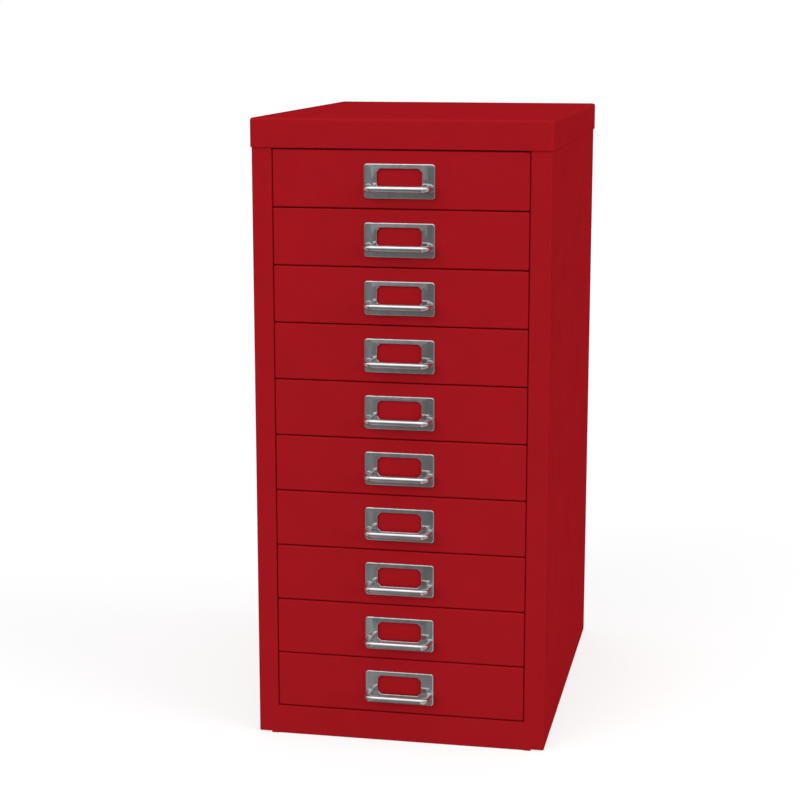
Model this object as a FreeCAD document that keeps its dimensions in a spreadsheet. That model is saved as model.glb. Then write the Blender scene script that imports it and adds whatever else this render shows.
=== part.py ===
import FreeCAD, Part
import math
import os

import Sketcher

# A steel cabinet for A4 paper with ten equal drawers.
# Frame: +Z up, the drawers open along -Y, and the origin lies under the middle of the cabinet on the floor.

# Driving dimensions in millimetres: the alias in the sheet, its value and what it sets
SIZES = [
    ("overall_width", 279.0, "width over the top cap"),
    ("overall_depth", 380.0, "depth over the top cap"),
    ("drawer_pitch", 53.35, "height of one drawer with its gap"),
    ("base_height", 28.6, "floor to the lowest drawer"),
    ("cap_height", 27.9, "height of the cap's skirt"),
    ("cap_overhang", 1.3, "how far the cap stands out past the body on each side"),
    ("cap_corner_radius", 2.6, "the cap's upright corners"),
    ("cap_edge_radius", 1.8, "the cap's top edge"),
    ("shell_gauge", 0.9, "steel sheet of the body"),
    ("shell_fold_radius", 1.4, "outer radius of the body's upright folds"),
    ("side_foot_gap", 1.5, "floor to the lower edge of the side and back panels"),
    ("side_foot_width", 12.2, "strip of the side panels that ends above the floor"),
    ("stile_width", 19.2, "front face of a side panel"),
    ("stile_return_depth", 14.0, "lip that runs back from a stile"),
    ("rear_flange_width", 12.0, "flange under the back panel"),
    ("base_lip_height", 18.0, "upturned edge of the base pan"),
    ("rail_flange_depth", 14.0, "folded edges of the rails above and below the drawers"),
    ("rack_clearance", 0.7, "between a stile's lip and the runner rack"),
    ("rack_rear_gap", 9.0, "between the runner rack and the back panel"),
    ("rack_weld_flange", 10.0, "flange that fixes the rack to the side panel"),
    ("runner_gauge", 0.9, "steel sheet of a runner"),
    ("runner_leg_width", 7.5, "how far a runner's legs reach inwards"),
    ("runner_front_setback", 14.7, "face of the body to the front of the runners"),
    ("runner_rear_gap", 7.0, "rear of a runner to the back panel"),
    ("runner_side_clearance", 0.9, "drawer flange to the runner's web"),
    ("runner_play", 0.35, "drawer flange to each runner leg"),
    ("stop_tab_height", 5.5, "tab that hangs from the front of a runner"),
    ("stop_lug_length", 8.0, "lug on the drawer's side wall, along the travel"),
    ("stop_lug_width", 5.6, "how far the lug stands out"),
    ("stop_lug_height", 4.0, "height of the lug"),
    ("stop_lug_drop", 1.0, "lug to the underside of the runner"),
    ("stop_clearance", 0.3, "left between lug and tab at full travel"),
    ("travel", 300.0, "how far a drawer slides out"),
    ("front_gap", 1.0, "between one drawer front and the next"),
    ("front_side_gap", 0.8, "drawer front to stile"),
    ("front_depth", 12.0, "depth of the folded drawer front"),
    ("front_edge_radius", 1.2, "folded edges of the drawer front"),
    ("front_gauge", 0.9, "steel sheet of the drawer front"),
    ("tray_gauge", 0.8, "steel sheet of the tray"),
    ("tray_floor_rise", 3.0, "bottom of the drawer space to the tray floor"),
    ("tray_wall_top", 45.0, "bottom of the drawer space to the tray's rim"),
    ("tray_hem", 1.6, "thickness of the tray's doubled side flange"),
    ("tray_flange_width", 7.6, "side flange that rides in the runner"),
    ("tray_fold_radius", 1.5, "folds along the tray floor"),
    ("tray_rear_gap", 9.8, "tray to back panel when the drawer is shut"),
    ("buffer_size", 8.0, "square face of a rubber buffer on the back panel"),
    ("buffer_clearance", 0.3, "shut drawer to its buffers"),
    ("buffer_spread", 150.0, "distance between a drawer's two buffers"),
    ("buffer_rise", 24.0, "bottom of the drawer space to the buffers"),
    ("plate_width", 65.8, "label plate of the handle"),
    ("plate_height", 31.7, "label plate of the handle"),
    ("plate_depth", 2.0, "how far the plate stands off the drawer front"),
    ("plate_gauge", 0.9, "face of the plate"),
    ("plate_rim", 1.5, "edge of the plate that bears on the drawer front"),
    ("plate_corner_radius", 3.0, "corners of the plate"),
    ("plate_edge_chamfer", 0.5, "front edge of the plate"),
    ("plate_top_gap", 12.1, "top of the drawer space to the plate"),
    ("window_width", 41.6, "card window in the plate"),
    ("window_height", 18.2, "card window in the plate"),
    ("window_top_rail", 4.4, "plate above the window"),
    ("window_chamfer", 3.4, "cut corners of the window"),
    ("tab_width", 5.0, "fixing tabs behind the plate"),
    ("tab_gauge", 1.0, "thickness of a fixing tab"),
    ("tab_length", 4.5, "how far a tab reaches behind the plate"),
    ("tab_clearance", 0.15, "tab to its slot in the drawer front"),
    ("tab_spread", 50.0, "distance between the two fixing tabs"),
    ("tab_drop", 8.0, "top of the plate to the tabs"),
    ("pull_diameter", 6.0, "round rod of the pull"),
    ("pull_spread", 57.0, "distance between the pull's two legs"),
    ("pull_projection", 18.0, "drawer front to the middle of the rod"),
    ("pull_bend_radius", 6.0, "middle line of the pull's bends"),
    ("pull_drop", 21.8, "top of the plate to the middle of the rod"),
]
DRAWER_COUNT = 10
# The pull is drawn with flats and chords that enclose the round rod
ROD_FLATS = 12
BEND_CHORDS = 3

document = FreeCAD.newDocument("DrawerCabinet")
sheet = document.addObject("Spreadsheet::Sheet", "sizes")
for row, (alias, value, meaning) in enumerate(SIZES, start=1):
    sheet.set(f"A{row}", meaning)
    sheet.set(f"B{row}", str(value))
    sheet.setAlias(f"B{row}", alias)
document.recompute()

# Places that several pieces share, as expressions of the sheet's values
BODY_HALF_WIDTH = "(sizes.overall_width / 2 - sizes.cap_overhang)"
BODY_FRONT = "(-sizes.overall_depth / 2 + sizes.cap_overhang)"
BODY_BACK = "(sizes.overall_depth / 2 - sizes.cap_overhang)"
BACK_PANEL_FRONT = f"({BODY_BACK} - sizes.shell_gauge)"
WALL_INSIDE = f"({BODY_HALF_WIDTH} - sizes.shell_gauge)"
OPENING_HALF_WIDTH = f"({BODY_HALF_WIDTH} - sizes.stile_width)"
STILE_LIP_END = f"({BODY_FRONT} + sizes.stile_return_depth)"
DRAWERS_TOP = f"(sizes.base_height + {DRAWER_COUNT} * sizes.drawer_pitch)"
CABINET_TOP = f"({DRAWERS_TOP} + sizes.cap_height)"
CAP_UNDERSIDE = f"({CABINET_TOP} - sizes.shell_gauge)"
RUNNER_WEB_INSIDE = f"({OPENING_HALF_WIDTH} - sizes.runner_gauge)"
RUNNER_LEG_END = f"({RUNNER_WEB_INSIDE} - sizes.runner_leg_width)"
RUNNER_FRONT = f"({BODY_FRONT} + sizes.runner_front_setback)"
RUNNER_BACK = f"({BACK_PANEL_FRONT} - sizes.runner_rear_gap)"
FLANGE_HALF_WIDTH = f"({RUNNER_WEB_INSIDE} - sizes.runner_side_clearance)"
TRAY_HALF_WIDTH = f"({FLANGE_HALF_WIDTH} - sizes.tray_flange_width)"
TRAY_FRONT = f"({BODY_FRONT} + sizes.front_depth)"
TRAY_BACK = f"({BACK_PANEL_FRONT} - sizes.tray_rear_gap)"
FLANGE_UNDERSIDE = "(sizes.tray_wall_top - sizes.tray_hem)"
RUNNER_LOWER_TOP = f"({FLANGE_UNDERSIDE} - sizes.runner_play)"
RUNNER_LOWER_BOTTOM = f"({RUNNER_LOWER_TOP} - sizes.runner_gauge)"
RUNNER_UPPER_BOTTOM = "(sizes.tray_wall_top + sizes.runner_play)"
RUNNER_UPPER_TOP = f"({RUNNER_UPPER_BOTTOM} + sizes.runner_gauge)"
FRONT_HALF_WIDTH = f"({OPENING_HALF_WIDTH} - sizes.front_side_gap)"
FRONT_BOTTOM = "(sizes.front_gap / 2)"
FRONT_TOP = "(sizes.drawer_pitch - sizes.front_gap / 2)"
PLATE_TOP = "(sizes.drawer_pitch - sizes.plate_top_gap)"
PLATE_FACE = f"({BODY_FRONT} - sizes.plate_depth)"
TAB_HEIGHT = f"({PLATE_TOP} - sizes.tab_drop)"
PULL_HEIGHT = f"({PLATE_TOP} - sizes.pull_drop)"

# World axis that each origin plane faces, and whether a pad has to be reversed to grow along it
PLANES = {"XY_Plane": ("+", False), "XZ_Plane": ("-", True), "YZ_Plane": ("+", False)}
TINY = 1e-4


def number(expression):
    """The value of an expression in the sheet's values."""
    return float(sheet.evalExpression(expression))


def mirrored(side, expression):
    """A place on the right (side +1) or the same place on the left (side -1)."""
    return f"({side} * {expression})"


def new_body(label):
    """An empty body whose label names the piece."""
    body = document.addObject("PartDesign::Body", label)
    body.Label = label
    return body


def origin_feature(body, role):
    """One of the body's own origin planes or axes."""
    return next(feature for feature in body.Origin.OriginFeatures if feature.Role == role)


def new_sketch(body, name, plane, start):
    """A sketch on an origin plane, moved along the world axis that the plane faces."""
    sketch = body.newObject("Sketcher::SketchObject", name)
    sketch.AttachmentSupport = (origin_feature(body, plane), "")
    sketch.MapMode = "FlatFace"
    sign, _ = PLANES[plane]
    sketch.setExpression("AttachmentOffset.Base.z", f"{sign}({start})")
    return sketch


def pin_point(sketch, geometry, point, place):
    """Ties one point of the sketch to a place given by two expressions."""
    for kind, expression in zip(("DistanceX", "DistanceY"), place):
        constraint = Sketcher.Constraint(kind, -1, 1, geometry, point, number(expression))
        index = sketch.addConstraint(constraint)
        sketch.setExpression(f"Constraints[{index}]", expression)


def draw_polygon(sketch, corners):
    """A closed outline through corners, each tied to its own expressions."""
    places = [FreeCAD.Vector(number(across), number(up), 0) for across, up in corners]
    first = sketch.GeometryCount
    for start, end in zip(places, places[1:] + places[:1]):
        sketch.addGeometry(Part.LineSegment(start, end), False)
    for step in range(len(corners)):
        following = first + (step + 1) % len(corners)
        sketch.addConstraint(Sketcher.Constraint("Coincident", first + step, 2, following, 1))
    for step, corner in enumerate(corners):
        pin_point(sketch, first + step, 1, corner)


def draw_open_path(sketch, points):
    """Straight lines through points, each tied to its own expressions."""
    places = [FreeCAD.Vector(number(across), number(up), 0) for across, up in points]
    for step, (start, end) in enumerate(zip(places, places[1:])):
        sketch.addGeometry(Part.LineSegment(start, end), False)
        if step > 0:
            sketch.addConstraint(Sketcher.Constraint("Coincident", step - 1, 2, step, 1))
        pin_point(sketch, step, 1, points[step])
    pin_point(sketch, len(points) - 2, 2, points[-1])


def draw_rounded_rectangle(sketch, sides, radius):
    """A rectangle with arcs at its corners; sides are its left, right, low and high expressions."""
    left, right, low, high = (number(side) for side in sides)
    bend = number(radius)
    turns = [
        (right - bend, low + bend),
        (right - bend, high - bend),
        (left + bend, high - bend),
        (left + bend, low + bend),
    ]
    first = sketch.GeometryCount
    quarter = math.pi / 2
    for step, (x, y) in enumerate(turns):
        start_angle = (step - 1) * quarter
        circle = Part.Circle(FreeCAD.Vector(x, y, 0), FreeCAD.Vector(0, 0, 1), bend)
        arc = Part.ArcOfCircle(circle, start_angle, start_angle + quarter)
        next_x, next_y = turns[(step + 1) % 4]
        offset = FreeCAD.Vector(math.cos(step * quarter), math.sin(step * quarter), 0) * bend
        line = Part.LineSegment(FreeCAD.Vector(x, y, 0) + offset, FreeCAD.Vector(next_x, next_y, 0) + offset)
        sketch.addGeometry(arc, False)
        sketch.addGeometry(line, False)
    for step in range(8):
        following = first + (step + 1) % 8
        sketch.addConstraint(Sketcher.Constraint("Tangent", first + step, 2, following, 1))
    straight = [
        ("Vertical", "DistanceX", 1),
        ("Horizontal", "DistanceY", 3),
        ("Vertical", "DistanceX", 0),
        ("Horizontal", "DistanceY", 2),
    ]
    for step, (direction, distance, side) in enumerate(straight):
        arc, line = first + 2 * step, first + 2 * step + 1
        sketch.addConstraint(Sketcher.Constraint(direction, line))
        index = sketch.addConstraint(Sketcher.Constraint(distance, -1, 1, line, 1, number(sides[side])))
        sketch.setExpression(f"Constraints[{index}]", sides[side])
        index = sketch.addConstraint(Sketcher.Constraint("Radius", arc, bend))
        sketch.setExpression(f"Constraints[{index}]", radius)


def rectangle(left, right, low, high):
    """Corners of an upright rectangle."""
    return [(left, low), (right, low), (right, high), (left, high)]


def mirrored_rectangles(left, right, low, high):
    """The same rectangle on the right and on the left of the middle."""
    return [
        rectangle(mirrored(side, left), mirrored(side, right), low, high)
        for side in (1, -1)
    ]


def folded_outline(path, gauge, inner_side):
    """Outline of a sheet folded along path; inner_side +1 lays its thickness to the left of the path."""
    numbers = [(number(across), number(up)) for across, up in path]
    normals = []
    for (x0, y0), (x1, y1) in zip(numbers, numbers[1:]):
        length = math.hypot(x1 - x0, y1 - y0)
        normals.append((round(-(y1 - y0) / length) * inner_side, round((x1 - x0) / length) * inner_side))
    inside = []
    for index, (across, up) in enumerate(path):
        touching = {normals[max(index - 1, 0)], normals[min(index, len(normals) - 1)]}
        shift_x = sum(normal[0] for normal in touching)
        shift_y = sum(normal[1] for normal in touching)
        inside.append((f"{across} + {shift_x} * {gauge}", f"{up} + {shift_y} * {gauge}"))
    return path + inside[::-1]


def draw(sketch, outline):
    """Draws a list of corners, or the sides and corner radius of a rounded rectangle."""
    if isinstance(outline, tuple):
        draw_rounded_rectangle(sketch, *outline)
    else:
        draw_polygon(sketch, outline)


def add_pad(body, name, plane, outlines, start, end):
    """Material between two places along the axis that the plane faces."""
    sketch = new_sketch(body, f"{name}_sketch", plane, start)
    for outline in outlines:
        draw(sketch, outline)
    pad = body.newObject("PartDesign::Pad", name)
    pad.Profile = sketch
    pad.Reversed = PLANES[plane][1]
    pad.setExpression("Length", f"{end} - {start}")
    document.recompute()
    return pad


def add_pocket(body, name, plane, outlines, start, end):
    """A cut between two places along the axis that the plane faces; it has to remove material."""
    before = body.Tip.Shape.Volume
    sketch = new_sketch(body, f"{name}_sketch", plane, start)
    for outline in outlines:
        draw(sketch, outline)
    pocket = body.newObject("PartDesign::Pocket", name)
    pocket.Profile = sketch
    pocket.Reversed = not PLANES[plane][1]
    pocket.setExpression("Length", f"{end} - {start}")
    document.recompute()
    if pocket.Shape.Volume >= before - TINY:
        raise ValueError(f"{name} of {body.Label} cuts nothing")
    return pocket


def matching_edges(shape, wanted):
    """Names of the edges that wanted accepts."""
    return [f"Edge{index}" for index, edge in enumerate(shape.Edges, start=1) if wanted(edge)]


def round_edges(body, name, radius, wanted):
    """Rounds those edges of the body's latest shape that wanted accepts."""
    base = body.Tip
    edges = matching_edges(base.Shape, wanted)
    fillet = body.newObject("PartDesign::Fillet", name)
    fillet.Base = (base, edges)
    fillet.setExpression("Radius", radius)
    document.recompute()
    return fillet


def chamfer_edges(body, name, size, wanted):
    """Bevels those edges of the body's latest shape that wanted accepts."""
    base = body.Tip
    edges = matching_edges(base.Shape, wanted)
    chamfer = body.newObject("PartDesign::Chamfer", name)
    chamfer.Base = (base, edges)
    chamfer.setExpression("Size", size)
    document.recompute()
    return chamfer


def repeat_upwards(body, features):
    """Repeats features of the lowest drawer space in every drawer space."""
    pattern = body.newObject("PartDesign::LinearPattern", "each_drawer")
    pattern.Originals = features
    pattern.Direction = (origin_feature(body, "Z_Axis"), [""])
    pattern.Occurrences = DRAWER_COUNT
    pattern.setExpression("Length", f"sizes.drawer_pitch * {DRAWER_COUNT - 1}")
    body.Tip = pattern
    document.recompute()
    return pattern


def is_upright_at(edge, places):
    """True for a straight upright edge at one of the given places in plan."""
    box = edge.BoundBox
    if max(box.XLength, box.YLength) > TINY or box.ZLength < TINY:
        return False
    return any(math.hypot(box.XMin - x, box.YMin - y) < TINY for x, y in places)


def is_level_at(edge, axis, place):
    """True for an edge that lies wholly at one place along an axis."""
    box = edge.BoundBox
    low, high = {"Y": (box.YMin, box.YMax), "Z": (box.ZMin, box.ZMax)}[axis]
    return abs(low - place) < TINY and abs(high - place) < TINY


def side_panel(label, side):
    """A folded wall: the stile with its lip in front, a flange for the back panel behind."""
    body = new_body(label)
    path = [
        (mirrored(side, OPENING_HALF_WIDTH), STILE_LIP_END),
        (mirrored(side, OPENING_HALF_WIDTH), BODY_FRONT),
        (mirrored(side, BODY_HALF_WIDTH), BODY_FRONT),
        (mirrored(side, BODY_HALF_WIDTH), BACK_PANEL_FRONT),
        (mirrored(side, f"({BODY_HALF_WIDTH} - sizes.rear_flange_width)"), BACK_PANEL_FRONT),
    ]
    outline = folded_outline(path, "sizes.shell_gauge", side)
    add_pad(body, "wall", "XY_Plane", [outline], "0", CAP_UNDERSIDE)
    foot_strip = rectangle(
        mirrored(side, f"({BODY_HALF_WIDTH} - sizes.side_foot_width)"),
        mirrored(side, BODY_HALF_WIDTH),
        BODY_FRONT,
        BACK_PANEL_FRONT,
    )
    add_pocket(body, "foot_gap", "XY_Plane", [foot_strip], "0", "sizes.side_foot_gap")
    folds = [(number(across), number(up)) for across, up in path[1:4]]
    round_edges(body, "folds", "sizes.shell_fold_radius", lambda edge: is_upright_at(edge, folds))
    return body


def back_panel():
    """A flat sheet that closes the back over the side panels' flanges."""
    body = new_body("back_panel")
    outline = rectangle(mirrored(-1, BODY_HALF_WIDTH), BODY_HALF_WIDTH, BACK_PANEL_FRONT, BODY_BACK)
    add_pad(body, "sheet", "XY_Plane", [outline], "sizes.side_foot_gap", CAP_UNDERSIDE)
    return body


def top_cap():
    """A pressed lid whose skirt hangs over the body on all sides."""
    body = new_body("top_cap")
    half_width = "(sizes.overall_width / 2)"
    half_depth = "(sizes.overall_depth / 2)"
    sides = (f"-{half_width}", half_width, f"-{half_depth}", half_depth)
    outline = (sides, "sizes.cap_corner_radius")
    add_pad(body, "block", "XY_Plane", [outline], DRAWERS_TOP, CABINET_TOP)
    top = number(CABINET_TOP)
    round_edges(body, "top_edge", "sizes.cap_edge_radius", lambda edge: is_level_at(edge, "Z", top))
    inner_x = f"({half_width} - sizes.shell_gauge)"
    inner_y = f"({half_depth} - sizes.shell_gauge)"
    inner_sides = (f"-{inner_x}", inner_x, f"-{inner_y}", inner_y)
    hollow = (inner_sides, "(sizes.cap_corner_radius - sizes.shell_gauge)")
    add_pocket(body, "hollow", "XY_Plane", [hollow], DRAWERS_TOP, CAP_UNDERSIDE)
    return body


def base_pan():
    """A shallow tray that ties the walls together and stands on the floor."""
    body = new_body("base_pan")
    pan_back = f"({BACK_PANEL_FRONT} - sizes.shell_gauge)"
    outline = rectangle(f"-{WALL_INSIDE}", WALL_INSIDE, STILE_LIP_END, pan_back)
    add_pad(body, "block", "XY_Plane", [outline], "0", "sizes.base_lip_height")
    inner_x = f"({WALL_INSIDE} - sizes.shell_gauge)"
    hollow = rectangle(
        f"-{inner_x}",
        inner_x,
        f"{STILE_LIP_END} + sizes.shell_gauge",
        f"{pan_back} - sizes.shell_gauge",
    )
    add_pocket(body, "hollow", "XY_Plane", [hollow], "sizes.shell_gauge", "sizes.base_lip_height")
    return body


def cross_rail(label, bottom, top):
    """A channel between the stiles, flush with them, above or below the drawers."""
    body = new_body(label)
    flange_end = f"({BODY_FRONT} + sizes.rail_flange_depth)"
    path = [(flange_end, bottom), (BODY_FRONT, bottom), (BODY_FRONT, top), (flange_end, top)]
    outline = folded_outline(path, "sizes.shell_gauge", -1)
    add_pad(body, "channel", "YZ_Plane", [outline], mirrored(-1, OPENING_HALF_WIDTH), OPENING_HALF_WIDTH)
    front = number(BODY_FRONT)
    round_edges(
        body,
        "folds",
        "sizes.front_edge_radius",
        lambda edge: edge.BoundBox.XLength > 1 and is_level_at(edge, "Y", front),
    )
    return body


def runner_rack(label, side):
    """A folded upright that holds one side's runners off the side panel."""
    body = new_body(label)
    front = f"({STILE_LIP_END} + sizes.rack_clearance)"
    back = f"({BACK_PANEL_FRONT} - sizes.rack_rear_gap)"
    wall = mirrored(side, WALL_INSIDE)
    web = mirrored(side, OPENING_HALF_WIDTH)
    path = [
        (wall, f"({front} + sizes.rack_weld_flange)"),
        (wall, front),
        (web, front),
        (web, back),
        (wall, back),
    ]
    outline = folded_outline(path, "sizes.runner_gauge", -side)
    add_pad(body, "channel", "XY_Plane", [outline], "sizes.base_height", DRAWERS_TOP)
    return body


def drawer_runners(label, side):
    """One channel for each drawer, with the tab that stops the drawer at full travel."""
    body = new_body(label)
    leg_end = mirrored(side, RUNNER_LEG_END)
    web_outside = mirrored(side, OPENING_HALF_WIDTH)
    path = [
        (leg_end, f"(sizes.base_height + {RUNNER_LOWER_BOTTOM})"),
        (web_outside, f"(sizes.base_height + {RUNNER_LOWER_BOTTOM})"),
        (web_outside, f"(sizes.base_height + {RUNNER_UPPER_TOP})"),
        (leg_end, f"(sizes.base_height + {RUNNER_UPPER_TOP})"),
    ]
    outline = folded_outline(path, "sizes.runner_gauge", side)
    channel = add_pad(body, "channel", "XZ_Plane", [outline], RUNNER_FRONT, RUNNER_BACK)
    tab_outline = rectangle(
        leg_end,
        web_outside,
        f"sizes.base_height + {RUNNER_LOWER_BOTTOM} - sizes.stop_tab_height",
        f"sizes.base_height + {RUNNER_LOWER_BOTTOM}",
    )
    tab_back = f"({RUNNER_FRONT} + sizes.runner_gauge)"
    tab = add_pad(body, "stop_tab", "XZ_Plane", [tab_outline], RUNNER_FRONT, tab_back)
    repeat_upwards(body, [channel, tab])
    return body


def rear_buffers():
    """Two rubber blocks behind each drawer, which it shuts against."""
    body = new_body("rear_buffers")
    start = f"({TRAY_BACK} + sizes.buffer_clearance)"
    half = "(sizes.buffer_size / 2)"
    middle = "(sizes.base_height + sizes.buffer_rise)"
    blocks = mirrored_rectangles(
        f"(sizes.buffer_spread / 2 - {half})",
        f"(sizes.buffer_spread / 2 + {half})",
        f"({middle} - {half})",
        f"({middle} + {half})",
    )
    pad = add_pad(body, "blocks", "XZ_Plane", blocks, start, BACK_PANEL_FRONT)
    repeat_upwards(body, [pad])
    return body


def place_drawer_piece(body, position):
    """Lifts a piece of the lowest drawer space to its own; position 1 is the top drawer."""
    height = f"sizes.base_height + {DRAWER_COUNT - position} * sizes.drawer_pitch"
    body.setExpression("Placement.Base.z", height)
    document.recompute()


def drawer_tray(label):
    """A folded tray with hemmed side flanges that ride in the runners, and its stop lugs."""
    body = new_body(label)
    half = TRAY_HALF_WIDTH
    floor = "sizes.tray_floor_rise"
    inside = f"({half} - sizes.tray_gauge)"
    section = [
        (f"-{half}", floor),
        (half, floor),
        (half, FLANGE_UNDERSIDE),
        (FLANGE_HALF_WIDTH, FLANGE_UNDERSIDE),
        (FLANGE_HALF_WIDTH, "sizes.tray_wall_top"),
        (inside, "sizes.tray_wall_top"),
        (inside, f"({floor} + sizes.tray_gauge)"),
        (f"-{inside}", f"({floor} + sizes.tray_gauge)"),
        (f"-{inside}", "sizes.tray_wall_top"),
        (f"-{FLANGE_HALF_WIDTH}", "sizes.tray_wall_top"),
        (f"-{FLANGE_HALF_WIDTH}", FLANGE_UNDERSIDE),
        (f"-{half}", FLANGE_UNDERSIDE),
    ]
    add_pad(body, "channel", "XZ_Plane", [section], TRAY_FRONT, TRAY_BACK)
    bottom = number(floor)
    round_edges(
        body,
        "floor_folds",
        "sizes.tray_fold_radius",
        lambda edge: edge.BoundBox.YLength > 1 and is_level_at(edge, "Z", bottom),
    )
    low = f"({floor} + sizes.tray_gauge)"
    front_wall = rectangle(f"-{FLANGE_HALF_WIDTH}", FLANGE_HALF_WIDTH, low, FRONT_TOP)
    add_pad(body, "front_wall", "XZ_Plane", [front_wall], TRAY_FRONT, f"({TRAY_FRONT} + sizes.tray_gauge)")
    rear_wall = rectangle(f"-{inside}", inside, low, "sizes.tray_wall_top")
    add_pad(body, "rear_wall", "XZ_Plane", [rear_wall], f"({TRAY_BACK} - sizes.tray_gauge)", TRAY_BACK)
    lug_top = f"({RUNNER_LOWER_BOTTOM} - sizes.stop_lug_drop)"
    lugs = mirrored_rectangles(
        half, f"({half} + sizes.stop_lug_width)", f"({lug_top} - sizes.stop_lug_height)", lug_top
    )
    lug_front = f"({RUNNER_FRONT} + sizes.runner_gauge + sizes.travel + sizes.stop_clearance)"
    add_pad(body, "stop_lugs", "XZ_Plane", lugs, lug_front, f"({lug_front} + sizes.stop_lug_length)")
    return body


def fixing_tab_outlines(clearance):
    """The two fixing tabs of a handle seen from the front, grown by a clearance."""
    half_width = f"(sizes.tab_width / 2 + {clearance})"
    half_gauge = f"(sizes.tab_gauge / 2 + {clearance})"
    return [
        rectangle(
            f"{side} * sizes.tab_spread / 2 - {half_width}",
            f"{side} * sizes.tab_spread / 2 + {half_width}",
            f"{TAB_HEIGHT} - {half_gauge}",
            f"{TAB_HEIGHT} + {half_gauge}",
        )
        for side in (1, -1)
    ]


def drawer_front(label):
    """A pan folded back on all four sides, with slots for the handle's tabs."""
    body = new_body(label)
    outline = rectangle(f"-{FRONT_HALF_WIDTH}", FRONT_HALF_WIDTH, FRONT_BOTTOM, FRONT_TOP)
    add_pad(body, "block", "XZ_Plane", [outline], BODY_FRONT, TRAY_FRONT)
    face = number(BODY_FRONT)
    round_edges(body, "folds", "sizes.front_edge_radius", lambda edge: is_level_at(edge, "Y", face))
    hollow = rectangle(
        f"-{FRONT_HALF_WIDTH} + sizes.front_gauge",
        f"{FRONT_HALF_WIDTH} - sizes.front_gauge",
        f"{FRONT_BOTTOM} + sizes.front_gauge",
        f"{FRONT_TOP} - sizes.front_gauge",
    )
    skin_back = f"({BODY_FRONT} + sizes.front_gauge)"
    add_pocket(body, "hollow", "XZ_Plane", [hollow], skin_back, TRAY_FRONT)
    slots = fixing_tab_outlines("sizes.tab_clearance")
    add_pocket(body, "tab_slots", "XZ_Plane", slots, BODY_FRONT, skin_back)
    return body


def label_plate(label):
    """A pressed plate with a card window, a turned rim and two tabs through the drawer front."""
    body = new_body(label)
    half = "(sizes.plate_width / 2)"
    bottom = f"({PLATE_TOP} - sizes.plate_height)"
    outline = ((f"-{half}", half, bottom, PLATE_TOP), "sizes.plate_corner_radius")
    add_pad(body, "block", "XZ_Plane", [outline], PLATE_FACE, BODY_FRONT)
    face = number(PLATE_FACE)
    chamfer_edges(body, "front_edge", "sizes.plate_edge_chamfer", lambda edge: is_level_at(edge, "Y", face))
    face_back = f"({PLATE_FACE} + sizes.plate_gauge)"
    pocket = rectangle(
        f"-{half} + sizes.plate_rim",
        f"{half} - sizes.plate_rim",
        f"{bottom} + sizes.plate_rim",
        f"{PLATE_TOP} - sizes.plate_rim",
    )
    add_pocket(body, "card_pocket", "XZ_Plane", [pocket], face_back, BODY_FRONT)
    right = "(sizes.window_width / 2)"
    high = f"({PLATE_TOP} - sizes.window_top_rail)"
    low = f"({high} - sizes.window_height)"
    cut = "sizes.window_chamfer"
    window = [
        (f"-{right} + {cut}", low),
        (f"{right} - {cut}", low),
        (right, f"{low} + {cut}"),
        (right, f"{high} - {cut}"),
        (f"{right} - {cut}", high),
        (f"-{right} + {cut}", high),
        (f"-{right}", f"{high} - {cut}"),
        (f"-{right}", f"{low} + {cut}"),
    ]
    add_pocket(body, "window", "XZ_Plane", [window], PLATE_FACE, face_back)
    tabs = fixing_tab_outlines("0")
    add_pad(body, "fixing_tabs", "XZ_Plane", tabs, face_back, f"({face_back} + sizes.tab_length)")
    return body


def bend_points(centre, start, radius):
    """Corners of one bend of the pull: tangent chords round a centre, which keep outside its arc."""
    reach = f"({radius} / cos({90 / BEND_CHORDS / 2}))"
    points = []
    for chord in range(BEND_CHORDS):
        angle = start + 90 * (chord + 0.5) / BEND_CHORDS
        points.append((f"{centre[0]} + {reach} * cos({angle})", f"{centre[1]} + {reach} * sin({angle})"))
    return points


def rod_section(middle, radius):
    """A regular outline whose flats lie on the round rod, with flats at its sides, top and bottom."""
    reach = f"({radius} / cos({180 / ROD_FLATS}))"
    angles = [360 * (flat + 0.5) / ROD_FLATS for flat in range(ROD_FLATS)]
    return [
        (f"{middle[0]} + {reach} * cos({angle})", f"{middle[1]} + {reach} * sin({angle})")
        for angle in angles
    ]


def pull_bar(label):
    """A rod bent into a D, with both legs butted on the label plate."""
    body = new_body(label)
    half = "(sizes.pull_spread / 2)"
    bend = "sizes.pull_bend_radius"
    reach = f"({BODY_FRONT} - sizes.pull_projection)"
    left_centre = (f"(-{half} + {bend})", f"({reach} + {bend})")
    right_centre = (f"({half} - {bend})", f"({reach} + {bend})")
    route = [(f"-{half}", PLATE_FACE)]
    route += bend_points(left_centre, 180, bend)
    route += bend_points(right_centre, 270, bend)
    route += [(half, PLATE_FACE)]
    spine = new_sketch(body, "spine", "XY_Plane", PULL_HEIGHT)
    draw_open_path(spine, route)
    section = new_sketch(body, "section", "XZ_Plane", PLATE_FACE)
    draw_polygon(section, rod_section((f"-{half}", PULL_HEIGHT), "(sizes.pull_diameter / 2)"))
    rod = body.newObject("PartDesign::AdditivePipe", "rod")
    rod.Profile = section
    rod.Spine = (spine, [""])
    rod.Transition = "Right corner"
    document.recompute()
    return body


def drawer(position):
    """The four pieces of one drawer, all on the same slide."""
    name = f"drawer_{position:02d}"
    pieces = [
        drawer_tray(f"{name}_tray"),
        drawer_front(f"{name}_front"),
        label_plate(f"{name}_label_plate"),
        pull_bar(f"{name}_pull_bar"),
    ]
    for piece in pieces:
        place_drawer_piece(piece, position)
    return pieces


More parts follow.
